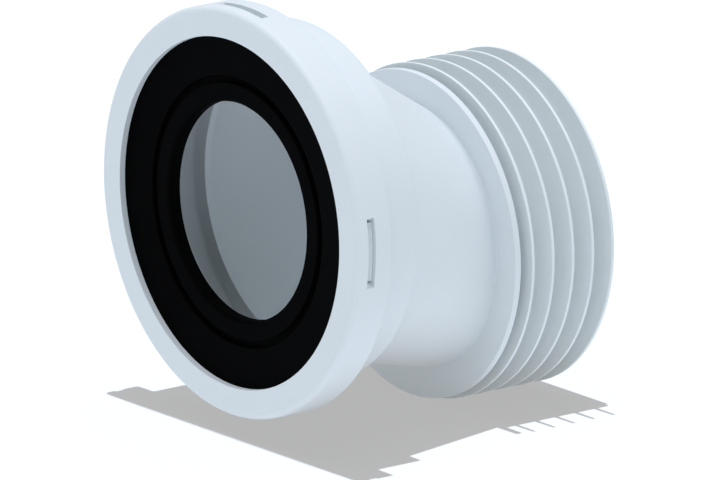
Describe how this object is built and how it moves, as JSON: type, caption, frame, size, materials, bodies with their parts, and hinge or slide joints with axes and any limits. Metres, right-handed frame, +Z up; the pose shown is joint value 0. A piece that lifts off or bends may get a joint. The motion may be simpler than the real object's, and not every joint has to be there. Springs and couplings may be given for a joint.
{
  "type": "toilet pan connector",
  "caption": "Rigid offset toilet pan connector: clipped ring over a black rubber inlet seal, slanted tapering neck, collar, and a spigot with a soft finned sleeve for the soil pipe.",
  "frame": {"origin": "centre of the gripping wall of the rubber seal's lip, on the inlet axis", "axes": "+Y along both axes from the inlet to the outlet, +Z up, the outlet axis below the inlet axis"},
  "size_m": [0.1404, 0.1254, 0.1476],
  "materials": {
    "white_polypropylene": "smooth satin moulded plastic, slightly cool white",
    "black_rubber": "matt black moulded rubber",
    "white_soft_rubber": "matt soft white thermoplastic rubber"
  },
  "bodies": {
    "root": {"body": "white_polypropylene", "seal_retaining_ring": "white_polypropylene", "inlet_seal": "black_rubber", "outlet_fin_seal": "white_soft_rubber"}
  },
  "joints": []
}
